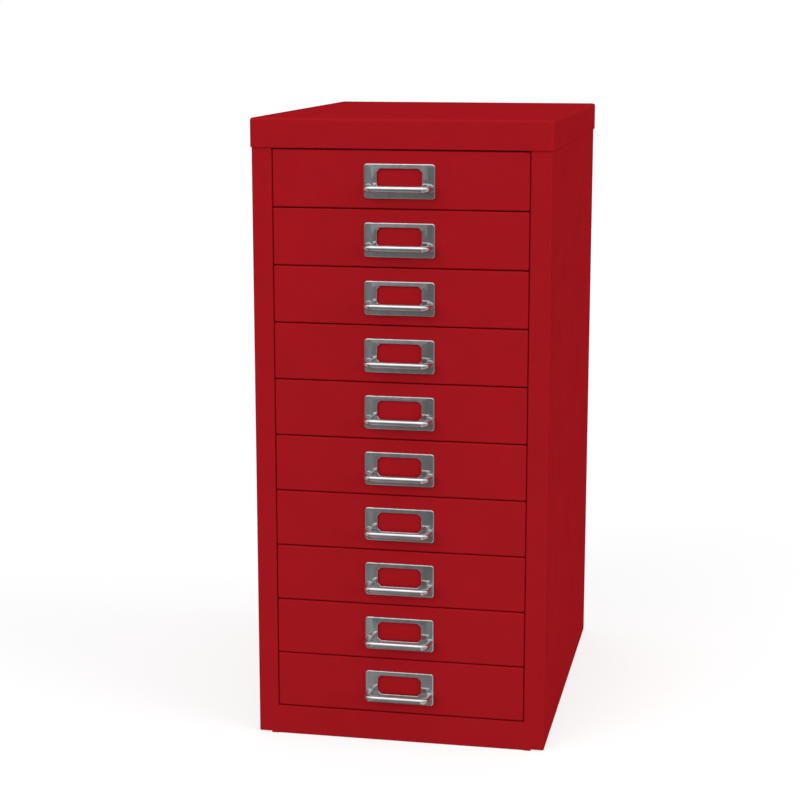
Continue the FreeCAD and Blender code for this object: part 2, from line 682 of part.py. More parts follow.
def write_parts(pieces):
    """Checks every object and every piece, then writes one STEP file for each piece."""
    document.recompute()
    for feature in document.Objects:
        if "Invalid" in feature.State or "Error" in feature.State:
            raise ValueError(f"{feature.Label} failed to build: {feature.State}")
    for piece in pieces:
        if piece.Shape.isNull() or not piece.Shape.isValid():
            raise ValueError(f"{piece.Label} has no valid shape")
    os.makedirs("parts", exist_ok=True)
    for piece in pieces:
        piece.Shape.exportStep(f"parts/{piece.Label}.step")


cabinet_pieces = [
    side_panel("left_side_panel", -1),
    side_panel("right_side_panel", 1),
    back_panel(),
    top_cap(),
    base_pan(),
    cross_rail("plinth_rail", "0", "(sizes.base_height - sizes.front_gap / 2)"),
    cross_rail("top_rail", f"({DRAWERS_TOP} + sizes.front_gap / 2)", CAP_UNDERSIDE),
    runner_rack("left_runner_rack", -1),
    runner_rack("right_runner_rack", 1),
    drawer_runners("left_runners", -1),
    drawer_runners("right_runners", 1),
    rear_buffers(),
]
drawer_pieces = [piece for position in range(1, DRAWER_COUNT + 1) for piece in drawer(position)]
write_parts(cabinet_pieces + drawer_pieces)
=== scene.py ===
import logging
import math
from collections.abc import Callable, Iterable, Iterator
from contextlib import contextmanager
from dataclasses import dataclass, field
from enum import Enum

import bmesh
import bpy
from mathutils import Matrix, Vector


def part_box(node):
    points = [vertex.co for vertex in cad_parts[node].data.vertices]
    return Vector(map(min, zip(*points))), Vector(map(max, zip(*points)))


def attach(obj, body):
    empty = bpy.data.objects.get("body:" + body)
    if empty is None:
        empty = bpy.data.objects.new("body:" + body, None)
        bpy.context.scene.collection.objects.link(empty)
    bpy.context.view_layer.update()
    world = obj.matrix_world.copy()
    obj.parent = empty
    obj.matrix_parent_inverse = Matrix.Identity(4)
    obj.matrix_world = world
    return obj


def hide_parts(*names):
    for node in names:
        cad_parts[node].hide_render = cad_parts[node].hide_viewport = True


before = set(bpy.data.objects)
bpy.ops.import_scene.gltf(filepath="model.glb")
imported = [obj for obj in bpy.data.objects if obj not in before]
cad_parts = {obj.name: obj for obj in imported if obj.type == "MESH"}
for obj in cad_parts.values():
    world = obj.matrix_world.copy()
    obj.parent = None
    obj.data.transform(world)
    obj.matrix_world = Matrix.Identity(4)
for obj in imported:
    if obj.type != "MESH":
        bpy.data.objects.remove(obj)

Piece = bpy.types.Object
Material = bpy.types.Material
Tree = bpy.types.NodeTree
Node = bpy.types.Node
Point = tuple[float, float, float]
Colour = tuple[float, float, float, float]
Span = tuple[float, float]
Tones = tuple[tuple[float, str], tuple[float, str]]
Sheen = tuple[float, float, float, float]
Inputs = dict[str | int, object]

MM = 0.001
# coordinates nearer than this are the same place
NEAR = 0.02 * MM
# points nearer than this are merged
MERGED = 0.001 * MM
# a face squarely on to an axis has more than this of it in its normal
SQUARELY = 0.999
# faces that meet at less than this angle are shaded as one curve
CURVE_ANGLE = math.radians(45)
# edges sharper than this angle are broken
SHARP_ANGLE = math.radians(50)
WHITE = (1.0, 1.0, 1.0, 1.0)
LOG = logging.getLogger("drawer_cabinet")


class Axis(Enum):
    """The direction along which a folded sheet keeps one profile, towards whoever looks at it."""

    ALONG_X = (1.0, 0.0, 0.0)
    ALONG_Y = (0.0, -1.0, 0.0)
    ALONG_Z = (0.0, 0.0, 1.0)


class Lay(Enum):
    """The side on which a folded sheet's thickness lies, for one who walks its profile."""

    LEFT = -1.0
    RIGHT = 1.0


class Pick(Enum):
    """What is selected in edit mode."""

    POINTS = "VERT"
    EDGES = "EDGE"
    FACES = "FACE"


class Throw(Enum):
    """How a lamp throws its light: evenly from afar, or from a panel nearby."""

    FAR = "SUN"
    PANEL = "AREA"


@dataclass(frozen=True, order=True)
class Round:
    """A rounded edge or fold: how far it reaches on each side, and its rows of faces."""

    radius: float
    steps: int


# Colour and node helpers


def linear(code: str) -> Colour:
    """Turns an sRGB hex colour into linear RGBA.

    Args:
        code: six hex digits, such as "9E171E".

    Returns:
        Linear red, green and blue, and an alpha of 1.
    """
    values = []
    for start in (0, 2, 4):
        channel = int(code[start : start + 2], 16) / 255
        values.append(channel / 12.92 if channel <= 0.04045 else ((channel + 0.055) / 1.055) ** 2.4)
    return values[0], values[1], values[2], 1.0


def add_node(
    tree: Tree,
    kind: str,
    inputs: Inputs,
    stops: Iterable[tuple[float, Colour]] = (),
    **settings: object,
) -> Node:
    """Adds a shader node, sets it up and links it.

    Args:
        tree: the node tree that gets the node.
        kind: the node's type, such as "ShaderNodeTexNoise".
        inputs: input name or index to a value, a socket, or a node that gives its first output.
        stops: position and linear colour of each stop of a colour ramp, in order.
        settings: the node's own properties.

    Returns:
        The new node.
    """
    node = tree.nodes.new(kind)
    for name, value in settings.items():
        setattr(node, name, value)
    for name, value in inputs.items():
        source = value.outputs[0] if isinstance(value, Node) else value
        if isinstance(source, bpy.types.NodeSocket):
            tree.links.new(source, node.inputs[name])
        else:
            node.inputs[name].default_value = source
    for step, (position, colour) in enumerate(stops):
        elements = node.color_ramp.elements
        stop = elements[step] if step < len(elements) else elements.new(position)
        stop.position, stop.color = position, colour
    return node


def new_material(name: str) -> tuple[Material, Tree, bpy.types.NodeSocket]:
    """Makes a node material with nothing in it but the place on the piece.

    Args:
        name: the material's name.

    Returns:
        The material, its node tree and the socket with the place, in metres.
    """
    material = bpy.data.materials.new(name)
    material.use_nodes = True
    tree = material.node_tree
    tree.nodes.clear()
    return material, tree, add_node(tree, "ShaderNodeTexCoord", {}).outputs["Object"]


# Finishes


@dataclass(frozen=True)
class Pattern:
    """A pattern at its real size, and the relief that it gives the surface.

    It is soft noise, or crystals of one tone each. Detail adds finer layers, and grain makes them
    stronger. Stretch draws it out along the axes where it is under 1. Depth is the relief's height,
    and strength the share of it that shows.
    """

    size_mm: float
    detail: float = 0.0
    grain: float = 0.5
    stretch: Point = (1.0, 1.0, 1.0)
    depth_mm: float = 0.0
    strength: float = 1.0
    crystals: bool = False

    def draw(self, tree: Tree, place: bpy.types.NodeSocket) -> Node:
        """Draws the pattern in a material.

        Args:
            tree: the material's node tree.
            place: the place on the piece.

        Returns:
            A node with the pattern's value, from 0 to 1.
        """
        inputs = {
            "Vector": add_node(tree, "ShaderNodeMapping", {"Vector": place, "Scale": self.stretch}),
            "Scale": 1 / (self.size_mm * MM),
            "Detail": self.detail,
            "Roughness": self.grain,
        }
        if not self.crystals:
            return add_node(tree, "ShaderNodeTexNoise", inputs)
        colours = add_node(tree, "ShaderNodeTexVoronoi", inputs).outputs["Color"]
        return add_node(tree, "ShaderNodeRGBToBW", {"Color": colours})


@dataclass(frozen=True)
class Finish:
    """What every finish has, and how it becomes a material.

    The tones are sRGB hex colours at two values of the tone's pattern. The sheen is two values of
    the gloss pattern and the roughness at each. The reliefs lie on each other, the lowest first.
    """

    name: str
    tone: Pattern
    tones: Tones
    gloss: Pattern | None
    sheen: Sheen
    reliefs: tuple[Pattern, ...]
    metallic: float = 0.0
    specular: float = 0.5
    ior: float = 1.5

    def material(self) -> Material:
        """Builds the material.

        Returns:
            The new material.
        """
        material, tree, place = new_material(self.name)
        patterns = dict.fromkeys((self.tone, self.gloss, *self.reliefs))
        drawn = {pattern: pattern.draw(tree, place) for pattern in patterns if pattern}
        stops = [(value, linear(code)) for value, code in self.tones]
        start, end, rough, rougher = self.sheen
        if self.gloss:
            ends = {"From Min": start, "From Max": end, "To Min": rough, "To Max": rougher}
            rough = add_node(tree, "ShaderNodeMapRange", {"Value": drawn[self.gloss], **ends})
        surface = {
            "Base Color": add_node(tree, "ShaderNodeValToRGB", {"Fac": drawn[self.tone]}, stops),
            "Roughness": rough,
            "Metallic": self.metallic,
            "Specular IOR Level": self.specular,
            "IOR": self.ior,
        }
        below = {}
        for pattern in self.reliefs:
            depth = {"Strength": pattern.strength, "Distance": pattern.depth_mm * MM}
            bump = add_node(tree, "ShaderNodeBump", {"Height": drawn[pattern], **depth, **below})
            below = {"Normal": bump}
        shader = add_node(tree, "ShaderNodeBsdfPrincipled", {**surface, **below})
        add_node(tree, "ShaderNodeOutputMaterial", {"Surface": shader})
        return material


@dataclass(frozen=True)
class PowderCoat(Finish):
    """Satin polyester powder coat baked on steel sheet.

    It melts and flows as it cures, so the eye sees a fine orange peel and an even colour, slightly
    mottled. The sheet under it is never quite flat, which bends the light a little. The photograph
    shows no gloss, and any at all turns the red milky, so the coat reflects nothing.
    """

    name: str = "red_powder_coat"
    tone: Pattern = Pattern(38.0, 3.0, 0.55)
    tones: Tones = ((0.30, "9B161D"), (0.70, "9F171E"))
    gloss: Pattern = Pattern(1.6, 2.0, depth_mm=0.05, strength=0.22)
    sheen: Sheen = (0.3, 0.7, 0.46, 0.55)
    reliefs: tuple[Pattern, ...] = (Pattern(140.0, 1.0, depth_mm=0.9, strength=0.2), gloss)
    specular: float = 0.0


@dataclass(frozen=True)
class BrightChrome(Finish):
    """Bright nickel-chrome plate on pressed sheet.

    The plate copies the steel below it, so the eye sees a mirror that waves where the press drew
    the sheet, from side to side more than up and down. A faint haze keeps it from a perfect mirror.
    The hairlines from polishing are too fine to show, so they are drawn coarser.
    """

    name: str = "pressed_plate_chrome"
    tone: Pattern = Pattern(6.0, 1.0, 0.4, stretch=(1.0, 1.0, 0.35), depth_mm=0.07)
    tones: Tones = ((0.35, "BCBEC0"), (0.65, "C8CACC"))
    gloss: Pattern = Pattern(0.35, 2.0, stretch=(0.08, 1.0, 1.0))
    sheen: Sheen = (0.35, 0.7, 0.05, 0.11)
    reliefs: tuple[Pattern, ...] = (tone,)
    metallic: float = 0.9


@dataclass(frozen=True)
class RodChrome(BrightChrome):
    """The same plate on drawn and bent rod, whose waves are longer and shallower."""

    name: str = "bent_rod_chrome"
    tone: Pattern = Pattern(14.0, 1.0, 0.4, stretch=(1.0, 1.0, 0.35), depth_mm=0.02)
    reliefs: tuple[Pattern, ...] = (tone,)


@dataclass(frozen=True)
class ZincSheet(Finish):
    """Hot-dip galvanised steel sheet, left bare on the runners.

    The zinc freezes in crystals, so the eye sees a soft grey spangle with patches that differ in
    gloss, crossed by lines from rolling. The lines are too fine to show, so they are drawn coarser.
    """

    name: str = "zinc_plated_steel"
    tone: Pattern = Pattern(6.0, crystals=True)
    tones: Tones = ((0.15, "8E9396"), (0.85, "B4B8BB"))
    gloss: Pattern = tone
    sheen: Sheen = (0.1, 0.9, 0.46, 0.32)
    reliefs: tuple[Pattern, ...] = (
        Pattern(0.6, 2.0, stretch=(1.0, 0.05, 1.0), depth_mm=0.03, strength=0.2),
    )
    metallic: float = 1.0


@dataclass(frozen=True)
class MouldedRubber(Finish):
    """Black moulded rubber, matt.

    The eye sees a fine bloom that greys it in patches, over the grain of the mould. The grain is
    too fine to show, so it is drawn coarser.
    """

    name: str = "buffer_rubber"
    tone: Pattern = Pattern(3.0, 4.0)
    tones: Tones = ((0.4, "1E1D1C"), (0.75, "33312F"))
    gloss: None = None
    sheen: Sheen = (0.0, 1.0, 0.78, 0.78)
    reliefs: tuple[Pattern, ...] = (Pattern(0.4, 1.0, depth_mm=0.04, strength=0.3),)


# Modelling helpers


def start_clean() -> None:
    """Leaves nothing selected and nothing in edit mode."""
    if bpy.context.object and bpy.context.object.mode != "OBJECT":
        bpy.ops.object.mode_set(mode="OBJECT")
    bpy.ops.object.select_all(action="DESELECT")


def take_up(piece: Piece) -> None:
    """Makes a piece the active one and the only one selected.

    Args:
        piece: the piece to work on.
    """
    start_clean()
    bpy.context.view_layer.objects.active = piece
    piece.select_set(True)


@contextmanager
def editing(piece: Piece) -> Iterator[None]:
    """Keeps one piece in edit mode with nothing selected at the start.

    Args:
        piece: the piece to edit.
    """
    take_up(piece)
    bpy.ops.object.mode_set(mode="EDIT")
    bpy.ops.mesh.select_all(action="DESELECT")
    yield
    bpy.ops.object.mode_set(mode="OBJECT")


def pick(piece: Piece, kind: Pick, wanted: Callable[..., bool]) -> None:
    """Selects points with what lies between them, or edges, or faces.

    Args:
        piece: the piece, in edit mode.
        kind: what is selected.
        wanted: accepts a point by its place, an edge by the places of its ends, or a face by its
            centre and normal.
    """
    bpy.ops.mesh.select_mode(type=kind.value)
    bpy.ops.mesh.select_all(action="DESELECT")
    mesh = bmesh.from_edit_mesh(piece.data)
    if kind is Pick.POINTS:
        choice = [(point, point.co) for point in mesh.verts]
    elif kind is Pick.EDGES:
        choice = [(edge, edge.verts[0].co, edge.verts[1].co) for edge in mesh.edges]
    else:
        choice = [(face, face.calc_center_median(), face.normal) for face in mesh.faces]
    for element, *places in choice:
        element.select_set(wanted(*places))
    if kind is Pick.POINTS:
        mesh.select_flush_mode()
    bmesh.update_edit_mesh(piece.data)


def round_edges(piece: Piece, edge: Round, wanted: Callable[[Vector, Vector], bool]) -> None:
    """Rounds edges.

    Args:
        piece: the piece, in edit mode.
        edge: the size of the round.
        wanted: accepts an edge by the places of its two ends.
    """
    pick(piece, Pick.EDGES, wanted)
    bpy.ops.mesh.bevel(offset=edge.radius, segments=edge.steps, affect="EDGES")


def score(planes: Iterable[tuple[Point, Point]]) -> None:
    """Cuts edges right round the piece in edit mode, along planes.

    Args:
        planes: a point and the normal of each plane.
    """
    for place, normal in planes:
        bpy.ops.mesh.select_all(action="SELECT")
        bpy.ops.mesh.bisect(plane_co=place, plane_no=normal)


def at(value: float, place: float) -> bool:
    """True where a coordinate lies at a place."""
    return abs(value - place) < NEAR


def settle(name: str) -> Piece:
    """Names the new primitive, and puts its place, turn and size into its mesh.

    Args:
        name: the new piece's name.

    Returns:
        The new piece.
    """
    bpy.ops.object.transform_apply(location=True, rotation=True, scale=True)
    piece = bpy.context.object
    piece.name = piece.data.name = name
    return piece


def new_box(name: str, low: Vector, high: Vector) -> Piece:
    """Adds a block between two corners.

    Args:
        name: the piece's name.
        low: its lowest corner.
        high: its highest corner.

    Returns:
        The new piece.
    """
    start_clean()
    bpy.ops.mesh.primitive_cube_add(size=1.0, location=(low + high) / 2, scale=high - low)
    return settle(name)


def apply_modifier(piece: Piece, kind: str, **settings: object) -> None:
    """Adds a modifier, sets it up and applies it.

    Args:
        piece: the piece that it shapes.
        kind: the modifier's type, such as "SOLIDIFY".
        settings: the modifier's own properties.
    """
    take_up(piece)
    modifier = piece.modifiers.new(kind.lower(), kind)
    for name, value in settings.items():
        setattr(modifier, name, value)
    bpy.ops.object.modifier_apply(modifier=modifier.name)


def thicken(piece: Piece, gauge: float, lay: Lay = Lay.LEFT) -> None:
    """Gives an open skin the thickness of its sheet.

    Args:
        piece: the skin.
        gauge: its thickness in metres.
        lay: the side of the skin that the thickness goes to.
    """
    apply_modifier(piece, "SOLIDIFY", thickness=gauge, offset=lay.value, use_even_offset=True)


def smooth(piece: Piece) -> None:
    """Smooths the shading, with normals weighted by face so that flat sheet looks flat.

    Args:
        piece: the piece to finish.
    """
    take_up(piece)
    bpy.ops.object.shade_smooth_by_angle(angle=CURVE_ANGLE, keep_sharp_edges=False)
    apply_modifier(piece, "WEIGHTED_NORMAL", keep_sharp=True)


def soften(piece: Piece, width: float, steps: int = 2) -> None:
    """Breaks the sharp edges that are left and smooths the shading.

    Args:
        piece: the piece to finish.
        width: how far the broken edge reaches, in metres.
        steps: rows of faces across the broken edge.
    """
    sharp = {"limit_method": "ANGLE", "angle_limit": SHARP_ANGLE}
    apply_modifier(piece, "BEVEL", width=width, segments=steps, **sharp)
    smooth(piece)


def fold_skin(name: str, route: list[Span], axis: Axis, span: Span, folds: list[Round]) -> Piece:
    """Folds a skin without thickness along a route of corners that runs square to an axis.

    Args:
        name: the piece's name.
        route: the profile's corners, as x and y (along Z), x and z (along Y) or y and z (along X).
        axis: the direction along which the profile stays the same.
        span: where the sheet starts and ends along that axis.
        folds: the fold at each corner between the first and the last.

    Returns:
        The folded skin.
    """
    along = Vector(axis.value)
    spread = Vector(abs(part) for part in along)
    place = {
        Axis.ALONG_X: lambda u, v: Vector((0, u, v)),
        Axis.ALONG_Y: lambda u, v: Vector((u, 0, v)),
        Axis.ALONG_Z: lambda u, v: Vector((u, v, 0)),
    }[axis]
    corners = [place(u, v) for u, v in route]
    first = corners[1] - corners[0]
    side = first.normalized()
    start_clean()
    bpy.ops.mesh.primitive_plane_add(
        size=1.0,
        location=(corners[0] + corners[1]) / 2 + spread * (span[0] + span[1]) / 2,
        rotation=Matrix((side, along, side.cross(along))).transposed().to_euler(),
    )
    bpy.context.object.scale = (first.length, abs(span[1] - span[0]), 1.0)
    piece = settle(name)

    def both_at(a: Vector, b: Vector, corner: Vector) -> bool:
        """True where an edge's two ends lie at a corner of the profile."""
        return all((end - spread * end.dot(spread) - corner).length < NEAR for end in (a, b))

    with editing(piece):
        for here, following in zip(corners[1:], corners[2:]):
            pick(piece, Pick.EDGES, lambda a, b: both_at(a, b, here))
            bpy.ops.mesh.extrude_region_move(TRANSFORM_OT_translate={"value": following - here})
        for fold in sorted(set(folds)):
            bends = [corner for corner, own in zip(corners[1:-1], folds) if own == fold]
            round_edges(piece, fold, lambda a, b: any(both_at(a, b, bend) for bend in bends))
    return piece


def copy_of(piece: Piece, name: str, shift: Vector) -> Piece:
    """Copies a piece with its own mesh, moved in its mesh.

    Args:
        piece: the piece to copy.
        name: the copy's name.
        shift: how far the copy's mesh is moved.

    Returns:
        The copy.
    """
    twin = piece.copy()
    twin.data = piece.data.copy()
    twin.name = twin.data.name = name
    bpy.context.scene.collection.objects.link(twin)
    twin.data.transform(Matrix.Translation(shift))
    return twin


def join(pieces: list[Piece], name: str) -> Piece:
    """Makes several meshes one piece.

    Args:
        pieces: the meshes to join.
        name: the joined piece's name.

    Returns:
        The joined piece.
    """
    take_up(pieces[0])
    for piece in pieces:
        piece.select_set(True)
    bpy.ops.object.join()
    pieces[0].name = pieces[0].data.name = name
    return pieces[0]


def dress(piece: Piece, material: Material) -> None:
    """Gives a piece or a CAD node one finish all over.

    Args:
        piece: the piece or node.
        material: its finish.
    """
    piece.data.materials.clear()
    piece.data.materials.append(material)


def mount(piece: Piece, body: str, node: str, material: Material, slot: str) -> None:
    """Finishes a new piece and puts it on its body, in place of its CAD node.

    Args:
        piece: the new piece.
        body: the body that it rides on.
        node: the CAD node that it stands for.
        material: its finish.
        slot: not used.
    """
    dress(piece, material)
    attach(piece, body)
    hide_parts(node)
    LOG.info("%s: %d faces", piece.name, len(piece.data.polygons))


# The cabinet


@dataclass
class Finishes:
    """The materials of the cabinet, each built once."""

    coat: Material = field(default_factory=PowderCoat().material)
    plate_chrome: Material = field(default_factory=BrightChrome().material)
    rod_chrome: Material = field(default_factory=RodChrome().material)
    zinc: Material = field(default_factory=ZincSheet().material)
    rubber: Material = field(default_factory=MouldedRubber().material)


@dataclass
class WeldPrints:
    """Ring-shaped prints that a spot welder's tips leave on a sheet that faces the rear."""

    radius: float = 3.0 * MM
    height: float = 0.4 * MM
    sides: int = 20
    shoulder: float = 0.24 * MM
    ring: float = 0.9 * MM
    dish: float = 0.6 * MM
    dish_depth: float = 0.32 * MM

    def build(self, places: list[Vector]) -> Piece:
        """Builds one print and copies it to each place.

        Args:
            places: the middle of each print, on the sheet's face.

        Returns:
            All the prints as one piece.
        """
        start_clean()
        bpy.ops.mesh.primitive_cylinder_add(
            vertices=self.sides,
            radius=self.radius,
            depth=2 * self.height,
            location=places[0],
            rotation=(math.pi / 2, 0, 0),
        )
        model = settle("weld_print")
        with editing(model):
            pick(model, Pick.FACES, lambda centre, normal: normal.y > SQUARELY)
            bpy.ops.mesh.bevel(offset=self.shoulder, segments=2, affect="EDGES")
            pick(model, Pick.FACES, lambda centre, normal: normal.y > SQUARELY)
            bpy.ops.mesh.inset(thickness=self.ring)
            bpy.ops.mesh.inset(thickness=self.dish, depth=-self.dish_depth)
        smooth(model)
        others = [copy_of(model, "weld_print", place - places[0]) for place in places[1:]]
        return join([model, *others], "weld_prints")


@dataclass
class Carcass:
    """The folded body: cap, walls, rails, back, base and what carries the drawers."""

    finishes: Finishes
    body: str = "cabinet"
    gauge: float = 0.9 * MM
    cap_corner: Round = Round(3.2 * MM, 8)
    cap_edge: Round = Round(2.6 * MM, 6)
    skirt_lift: float = 1.0 * MM
    fold: Round = Round(1.4 * MM, 5)
    rail_fold: Round = Round(1.2 * MM, 5)
    stile_lip: float = 14.0 * MM
    rear_flange: float = 12.0 * MM
    rail_flange: float = 14.0 * MM
    foot_strip: float = 12.2 * MM
    foot_gap: float = 1.5 * MM
    cut_edge: float = 0.2 * MM
    back_seam: float = 0.5 * MM
    weld_pitch: float = 58.0 * MM
    weld_inset: float = 6.0 * MM
    weld_count: int = 10

    def build(self) -> None:
        """Builds the new pieces and dresses the CAD nodes that stay."""
        coat, zinc = self.finishes.coat, self.finishes.zinc
        pieces = {
            "top_cap": self.top_cap(),
            "left_side_panel": self.side_panel("left_side_panel", -1),
            "right_side_panel": self.side_panel("right_side_panel", 1),
            "plinth_rail": self.cross_rail("plinth_rail"),
            "top_rail": self.cross_rail("top_rail"),
            "back_panel": self.back_panel(),
        }
        for node, piece in pieces.items():
            mount(piece, self.body, node, coat, "red_powder_coat")
        for node, material in (
            ("base_pan", coat),
            ("left_runner_rack", zinc),
            ("right_runner_rack", zinc),
            ("left_runners", zinc),
            ("right_runners", zinc),
            ("rear_buffers", self.finishes.rubber),
        ):
            dress(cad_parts[node], material)

    def top_cap(self) -> Piece:
        """Presses the lid, with rounded corners and a soft top edge, open below.

        Its skirt ends a little higher than the node's, for the dark gap over the top drawer.

        Returns:
            The cap.
        """
        low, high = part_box("top_cap")
        low.z += self.skirt_lift
        cap = new_box("top_cap_pressing", low, high)
        with editing(cap):
            pick(cap, Pick.FACES, lambda centre, normal: normal.z < -SQUARELY)
            bpy.ops.mesh.delete(type="FACE")
            round_edges(cap, self.cap_corner, lambda a, b: at(a.x, b.x) and at(a.y, b.y))
            round_edges(cap, self.cap_edge, lambda a, b: at(a.z, high.z) and at(b.z, high.z))
        thicken(cap, self.gauge)
        soften(cap, self.cut_edge)
        return cap

    def side_panel(self, node: str, side: int) -> Piece:
        """Folds a wall to the stile in front and to a flange behind.

        The stile has a lip along the drawers only, so that it meets the plinth rail flush. The
        wall, its flange and the outer strip of the stile end a little above the floor.

        Args:
            node: the CAD node that it stands for.
            side: 1 on the right and -1 on the left.

        Returns:
            The panel.
        """
        low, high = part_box(node)
        rail_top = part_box("plinth_rail")[1].z
        outside, inside = (high.x, low.x) if side > 0 else (low.x, high.x)
        flange_end = outside - side * self.rear_flange
        route = [(inside, low.y), (outside, low.y), (outside, high.y), (flange_end, high.y)]
        span = (low.z, high.z)
        panel = fold_skin(f"{node}_sheet", route, Axis.ALONG_Z, span, [self.fold] * 2)
        strip = outside - side * self.foot_strip
        foot = low.z + self.foot_gap

        def on_lip_line(a: Vector, b: Vector) -> bool:
            """True where an edge lies on the stile's inner border, beside the drawers."""
            lowest = rail_top - NEAR
            return all(at(v.x, inside) and at(v.y, low.y) and v.z > lowest for v in (a, b))

        def over_gap(centre: Vector, _: Vector) -> bool:
            """True for a face that would reach the floor beside the outer strip."""
            return centre.z < foot and (centre.x - strip) * side > 0

        with editing(panel):
            levels = [((0, 0, height), (0, 0, 1)) for height in (foot, rail_top)]
            score([*levels, ((strip, 0, 0), (1, 0, 0))])
            pick(panel, Pick.FACES, over_gap)
            bpy.ops.mesh.delete(type="FACE")
            pick(panel, Pick.EDGES, on_lip_line)
            lip = (0, self.stile_lip, 0)
            bpy.ops.mesh.extrude_region_move(TRANSFORM_OT_translate={"value": lip})
            round_edges(panel, self.fold, on_lip_line)
        thicken(panel, self.gauge, Lay.LEFT if side > 0 else Lay.RIGHT)
        smooth(panel)
        return panel

    def cross_rail(self, node: str) -> Piece:
        """Folds a channel between the stiles, flush with them.

        Args:
            node: the CAD node that it stands for.

        Returns:
            The rail.
        """
        low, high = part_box(node)
        back = low.y + self.rail_flange
        route = [(back, low.z), (low.y, low.z), (low.y, high.z), (back, high.z)]
        span = (low.x, high.x)
        rail = fold_skin(f"{node}_sheet", route, Axis.ALONG_X, span, [self.rail_fold] * 2)
        thicken(rail, self.gauge, Lay.RIGHT)
        smooth(rail)
        return rail

    def back_panel(self) -> Piece:
        """Cuts a flat sheet, spot welded down both edges, with an open seam beside the flanges.

        Returns:
            The back with its weld prints.
        """
        low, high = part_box("back_panel")
        seam = Vector((self.back_seam, 0, 0))
        sheet = new_box("back_panel_sheet", low + seam, high - seam)
        soften(sheet, self.cut_edge)
        lowest = (low.z + high.z - (self.weld_count - 1) * self.weld_pitch) / 2
        places = [
            Vector((side * (high.x - self.weld_inset), high.y, lowest + step * self.weld_pitch))
            for side in (-1, 1)
            for step in range(self.weld_count)
        ]
        return join([sheet, WeldPrints().build(places)], "back_panel_sheet")


